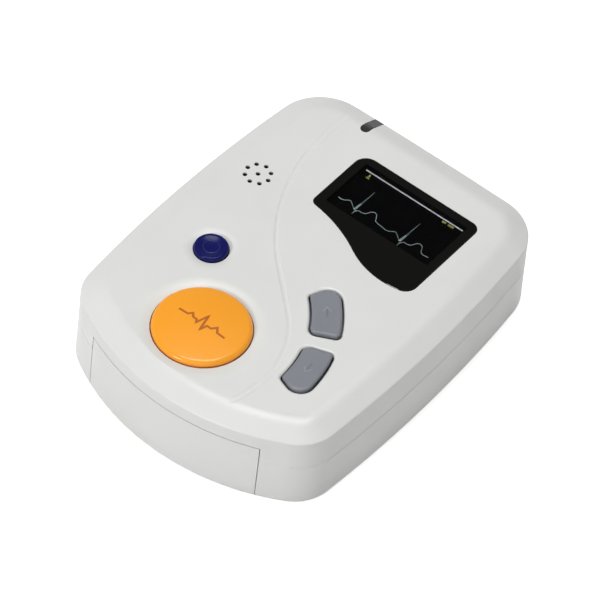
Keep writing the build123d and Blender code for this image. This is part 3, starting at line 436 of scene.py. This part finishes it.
def make_mask():
    """A black ring that closes the gap between the display and the lens, round the clear view."""
    grid = bmesh.new()
    rings = []
    for margin in (VIEW_MARGIN, VIEW_MARGIN + MASK_WIDTH):
        half = LIT_SIZE / 2 + Vector((margin, margin))
        for level in (GLASS_HIGH.z + MASK_GAP, WINDOW_LOW.z - MASK_GAP):
            corners = [(-half.x, -half.y), (half.x, -half.y), (half.x, half.y), (-half.x, half.y)]
            rings.append([grid.verts.new((*(LIT_MIDDLE + Vector(corner)), level)) for corner in corners])
    inner_low, inner_high, outer_low, outer_high = rings
    loop = (inner_low, inner_high, outer_high, outer_low, inner_low)
    for near, far in zip(loop, loop[1:]):
        join_loops(grid, near, far)
    bmesh.ops.recalc_face_normals(grid, faces=grid.faces)
    new_piece("window_mask", new_mesh("window_mask", grid), MATERIALS["window"], "case")


def make_window():
    """The window, split into a black border and a clear lens over the display."""
    half = LIT_SIZE / 2 + Vector((VIEW_MARGIN, VIEW_MARGIN))
    low = (*(LIT_MIDDLE - half), WINDOW_LOW.z - VIEW_OVERRUN)
    high = (*(LIT_MIDDLE + half), WINDOW_HIGH.z + VIEW_OVERRUN)
    source = NODES["screen_window"]
    border = cut_copy("window_border", source, box_mesh("view", low, high), "DIFFERENCE")
    lens = cut_copy("window_lens", source, box_mesh("view", low, high), "INTERSECT")
    border = new_piece("window_border", border, MATERIALS["window"], "case")
    lens = new_piece("window_lens", lens, clear_lens("window_lens"), "case")
    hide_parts("screen_window")
    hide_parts("screen_window")


make_window()
make_mask()

# What the display shows, in millimetres from the middle of its lit area. The points of a heart beat and of
# its thicker foot are taken from the place of its spike.
BEAT = [
    (-3.5, 0.1), (-2.9, 0.3), (-2.3, 0.8), (-1.9, 0.9), (-1.3, 0.5), (-0.3, -0.3), (0.0, 5.3), (0.02, -1.4),
    (0.1, -0.6), (0.5, 0.0), (1.2, 0.0), (1.8, 0.2), (2.1, 0.7), (2.4, 1.3), (2.9, 1.6), (3.5, 1.4),
    (3.9, 0.7), (4.2, 0.1), (4.8, -0.1),
]
SPIKE_FOOT = [(-0.3, -0.3), (-0.1, 1.5)]
SPIKES = {"left": (-6.35, -3.2), "right": (4.05, -3.65)}
TRACE_START = (-10.5, -3.0)
TRACE_END = (9.9, -3.6)
TOP_LINE = [(-10.75, 5.32), (10.6, 5.36)]
# Plain marks under the line, each with its width
MARKS = {
    "mark_bar": ([(-9.46, 4.75), (-9.43, 4.2)], 0.34),
    "mark_foot": ([(-9.75, 3.92), (-9.1, 3.92)], 0.22),
    "note_first": ([(6.6, 4.74), (7.35, 4.78)], 0.36),
    "note_second": ([(7.85, 4.74), (9.0, 4.78)], 0.36),
}
LINE_WIDTH = 0.25
TRACE_WIDTH = 0.13
FOOT_WIDTH = 0.34
STROKE_LIFT = 0.04 * MM         # of the strokes' middle over the display's glass
STROKE_GLOW = 0.9


def make_graphics():
    """The lit strokes of the display: a line along the top, small marks under it and the heart trace."""
    level = GLASS_HIGH.z + STROKE_LIFT
    pale = lit("lit_pale", (0.33, 0.34, 0.37), STROKE_GLOW)
    cyan = lit("lit_cyan", (0.165, 0.215, 0.215), STROKE_GLOW)
    yellow = lit("lit_yellow", (0.20, 0.19, 0.035), STROKE_GLOW)

    def light(name, points, width, material):
        """One stroke. Its points and width are in millimetres."""
        places = [Vector((LIT_MIDDLE.x + x * MM, LIT_MIDDLE.y + y * MM, level)) for x, y in points]
        stroke(f"screen_{name}", places, width * MM, material, "case")

    light("line", TOP_LINE, LINE_WIDTH, pale)
    trace = [TRACE_START]
    for side, (x, y) in SPIKES.items():
        trace.extend((x + dx, y + dy) for dx, dy in BEAT)
        light(f"spike_{side}", [(x + dx, y + dy) for dx, dy in SPIKE_FOOT], FOOT_WIDTH, cyan)
    light("trace", [*trace, TRACE_END], TRACE_WIDTH, cyan)
    for name, (points, width) in MARKS.items():
        light(name, points, width, yellow)


make_graphics()


# Marks printed or moulded on the buttons
HIGH_ABOVE = 1.0                # where a ray down to a surface starts
PRINT_STEP = 0.4 * MM           # between the places where a printed line is laid on the surface
LEAST_MITRE = 0.45              # keeps the corners of a printed line from running out to points


def surface_height(node, place):
    """The height of a CAD node's upper surface over a place."""
    return NODES[node].ray_cast(Vector((*place, HIGH_ABOVE)), Vector((0, 0, -1)))[1].z


def refined(points, step):
    """The same path with extra points, so that its stretches are about as long as the step, or shorter."""
    path = [points[0]]
    for start, end in zip(points, points[1:]):
        count = max(1, round((end - start).length / step))
        path.extend(start.lerp(end, k / count) for k in range(1, count + 1))
    return path


def print_line(name, points, width, node, lift, material, body):
    """A flat line that follows the upper surface of a node, standing this little above it."""
    path = refined(points, PRINT_STEP)
    grid = bmesh.new()
    rows = []
    for k, point in enumerate(path):
        arriving = point - path[k - 1] if k else path[1] - point
        leaving = path[k + 1] - point if k + 1 < len(path) else arriving
        sides = [Vector((-way.y, way.x)).normalized() for way in (arriving, leaving)]
        mitre = (sides[0] + sides[1]).normalized()
        reach = mitre * width / 2 / max(mitre.dot(sides[0]), LEAST_MITRE)
        row = []
        for sign, level in ((1, lift), (-1, lift), (-1, -lift), (1, -lift)):
            place = point + sign * reach
            row.append(grid.verts.new((*place, surface_height(node, place) + level)))
        rows.append(row)
    for near, far in zip(rows, rows[1:]):
        join_loops(grid, near, far)
    grid.faces.new(rows[0][::-1])
    grid.faces.new(rows[-1])
    bmesh.ops.recalc_face_normals(grid, faces=grid.faces)
    return new_piece(name, new_mesh(name, grid), material, body)


# A plain heart beat, in millimetres from the middle of the event button
PULSE = [
    (-5.0, -0.15), (-3.1, -0.15), (-2.5, 0.55), (-1.9, -0.15), (-1.15, -0.15), (-0.75, -0.75), (0.0, 1.75),
    (0.7, -1.55), (1.15, -0.15), (2.0, -0.15), (2.7, 0.75), (3.4, -0.15), (5.0, -0.15),
]
PULSE_WIDTH = 0.42 * MM
PULSE_LIFT = 0.012 * MM
RING_RADIUS = 1.45 * MM
RING_WIDTH = 0.16 * MM
RING_STEPS = 64
# The arrow on each grey key: which way it points round the ring of keys, and how far its tip lies past the
# middle of the stem
ARROWS = {"up": (1, 0.65 * MM), "down": (-1, 0.25 * MM)}
HEAD_LENGTH = 1.0 * MM
HEAD_HALF = 0.8 * MM
HEAD_WIDTH = 0.34 * MM
SHAFT_START = 0.5 * MM          # behind the tip
SHAFT_END = 2.2 * MM
SHAFT_WIDTH = 0.30 * MM
ARROW_LIFT = 0.02 * MM


def make_pulse():
    """A brown pulse line printed across the event button."""
    brown = moulded("event_ink", (0.47, 0.13, 0.018), 0.45, spread=0.02, sheen=0.2)
    pulse = [Vector((MARK.x + x * MM, MARK.y + y * MM)) for x, y in PULSE]
    print_line("event_print", pulse, PULSE_WIDTH, "mark_button", PULSE_LIFT, brown, "mark")


def make_ring():
    """A moulded ring on the round button, lighter than the button as a painted highlight."""
    ring = []
    for k in range(RING_STEPS + 1):
        angle = 2 * pi * k / RING_STEPS
        place = ENTER.xy + RING_RADIUS * Vector((cos(angle), sin(angle)))
        ring.append(Vector((*place, surface_height("enter_button", place))))
    # Lighter than the button: a painted highlight on the ring
    ring_painted_highlight = moulded("ring_painted_highlight", (0.020, 0.028, 0.150), 0.20, spread=0.02, sheen=0.4)
    stroke("enter_ring", ring, RING_WIDTH, ring_painted_highlight, "enter")


def make_arrows():
    """A faint arrow on each grey key, along the ring of keys: a lighter head as painted highlight, a darker
    shaft as painted shade.
    """
    # Painted highlight on each arrow's head and painted shade on its shaft, against the key's grey
    head_painted_highlight = moulded("arrow_painted_highlight", (0.250, 0.258, 0.291), 0.42, spread=0.02, sheen=0.4)
    shaft_painted_shade = moulded("arrow_painted_shade", (0.170, 0.175, 0.201), 0.42, spread=0.02, sheen=0.4)
    for key, (turn, advance) in ARROWS.items():
        seat = middle(f"{key}_stem").xy
        ray = seat - KEY_CENTRE
        ahead = Vector((-ray.y, ray.x)).normalized() * turn
        aside = Vector((-ahead.y, ahead.x))
        tip = seat + advance * ahead
        wings = [tip - HEAD_LENGTH * ahead + side * HEAD_HALF * aside for side in (1, -1)]
        head = [wings[0], tip, wings[1]]
        shaft = [tip - SHAFT_START * ahead, tip - SHAFT_END * ahead]
        node = f"{key}_key"
        print_line(f"{key}_arrow_head", head, HEAD_WIDTH, node, ARROW_LIFT, head_painted_highlight, key)
        print_line(f"{key}_arrow_shaft", shaft, SHAFT_WIDTH, node, ARROW_LIFT, shaft_painted_shade, key)


make_pulse()
make_ring()
make_arrows()


# Floor, light and camera

LOOKING_RAYS = ("Is Camera Ray", "Is Glossy Ray", "Is Transmission Ray")
FLOOR_HALF = 3.0
FLOOR_GAP = 0.02 * MM           # below the case, so that no two faces lie in one plane
FLOOR_ALBEDO = 0.71
FLOOR_LIFT = 0.68               # what the camera sees of the floor beyond its lit colour
PAPER_PATCH = 60 * MM           # patches of slightly different white
PAPER_SHADES = (1.0, 1.02)
PAPER_ROUGHNESS = 0.9
ROOM_LIGHT = 0.23
ROOM_CEILING = 0.04             # what mirrors and glass see overhead
ROOM_WHITE_END = 0.3            # heights of a direction between which the room's white fades to its ceiling
ROOM_FADE_END = 0.65
# Name, direction, level and size of each soft lamp
LAMPS = [
    ("softbox_overhead", (-0.10, 0.16, 0.98), 0.60, 0.5),
    ("softbox_front_left", (-0.12, -0.86, 0.50), 0.43, 0.3),
    ("softbox_front_right", (0.45, -0.72, 0.52), 0.09, 0.5),
]
LAMP_DISTANCE = 1.2


def looked_at(tree):
    """One where a camera, mirror or glass ray looks, and zero for light that falls on things."""
    path = tree.nodes.new("ShaderNodeLightPath")
    return largest(tree, [path.outputs[name] for name in LOOKING_RAYS])


def make_floor():
    """A white floor that looks brighter than the light on it makes it, so that it shows as plain white."""
    grid = bmesh.new()
    bmesh.ops.create_grid(grid, x_segments=1, y_segments=1, size=FLOOR_HALF)
    bmesh.ops.translate(grid, vec=(0, 0, cad_box[0][2] - FLOOR_GAP), verts=grid.verts)
    floor = new_object("floor", new_mesh("floor", grid))
    material, tree, shader = new_material("floor")
    patches = place_noise(tree, PAPER_PATCH)
    tint = ramp(tree, patches, *(shade((FLOOR_ALBEDO,) * 3, share) for share in PAPER_SHADES))
    tree.links.new(tint, shader.inputs["Base Color"])
    shader.inputs["Roughness"].default_value = PAPER_ROUGHNESS
    shader.inputs["Specular IOR Level"].default_value = 0.0
    glow = tree.nodes.new("ShaderNodeEmission")
    lift = tree.nodes.new("ShaderNodeMath")
    lift.operation = "MULTIPLY"
    lift.inputs[1].default_value = FLOOR_LIFT
    both = tree.nodes.new("ShaderNodeAddShader")
    output = next(node for node in tree.nodes if node.type == "OUTPUT_MATERIAL")
    tree.links.new(looked_at(tree), lift.inputs[0])
    tree.links.new(lift.outputs["Value"], glow.inputs["Strength"])
    tree.links.new(shader.outputs["BSDF"], both.inputs[0])
    tree.links.new(glow.outputs["Emission"], both.inputs[1])
    tree.links.new(both.outputs["Shader"], output.inputs["Surface"])
    dress(floor, material)


def make_world():
    """White at eye level and dark overhead for what looks at it, and an even dim light on things."""
    world = bpy.data.worlds.new("room")
    bpy.context.scene.world = world
    world.use_nodes = True
    tree = world.node_tree
    tree.nodes.clear()
    output = tree.nodes.new("ShaderNodeOutputWorld")
    background = tree.nodes.new("ShaderNodeBackground")
    place = tree.nodes.new("ShaderNodeTexCoord")
    split = tree.nodes.new("ShaderNodeSeparateXYZ")
    tree.links.new(place.outputs["Generated"], split.inputs["Vector"])
    seen = ramp(tree, split.outputs["Z"], 1.0, ROOM_CEILING, ROOM_WHITE_END, ROOM_FADE_END)
    mix = tree.nodes.new("ShaderNodeMix")
    mix.inputs["A"].default_value = ROOM_LIGHT
    tree.links.new(looked_at(tree), mix.inputs["Factor"])
    tree.links.new(seen, mix.inputs["B"])
    tree.links.new(mix.outputs["Result"], background.inputs["Strength"])
    tree.links.new(background.outputs["Background"], output.inputs["Surface"])


def make_lamp(name, direction, level, size):
    """A square soft lamp that lights a face turned to it as brightly as this share of full white."""
    lamp = bpy.data.lights.new(name, "AREA")
    lamp.shape = "SQUARE"
    lamp.size = size
    lamp.energy = level * pi ** 2 * LAMP_DISTANCE ** 2
    holder = new_object(name, lamp)
    away = Vector(direction).normalized()
    holder.location = away * LAMP_DISTANCE
    holder.rotation_euler = away.to_track_quat("Z", "Y").to_euler()


def make_camera():
    """The photograph's camera: a long lens, looking down over the front right corner."""
    az, el = VIEW_AZIMUTH, VIEW_ELEVATION
    right = Vector((cos(az), sin(az), 0))
    up = Vector((-sin(az) * sin(el), cos(az) * sin(el), cos(el)))
    back = Vector((sin(az) * cos(el), -cos(az) * cos(el), sin(el)))
    across = cos(VIEW_ROLL) * right + sin(VIEW_ROLL) * up
    upward = cos(VIEW_ROLL) * up - sin(VIEW_ROLL) * right
    aim = Vector((*AIM, TOP))
    aside = (AIM_PX[0] - FRAME_PX / 2) / FOCAL_PX * VIEW_DISTANCE
    below = (AIM_PX[1] - FRAME_PX / 2) / FOCAL_PX * VIEW_DISTANCE
    place = aim + back * VIEW_DISTANCE - across * aside + upward * below
    lens = bpy.data.cameras.new("camera")
    lens.sensor_width = SENSOR
    lens.lens = SENSOR * FOCAL_PX / FRAME_PX
    camera = new_object("camera", lens)
    camera.matrix_world = Matrix.Translation(place) @ Matrix((across, upward, back)).transposed().to_4x4()
    bpy.context.scene.camera = camera


make_floor()
make_world()
for lamp_values in LAMPS:
    make_lamp(*lamp_values)
make_camera()
bpy.context.scene.view_settings.view_transform = "Standard"
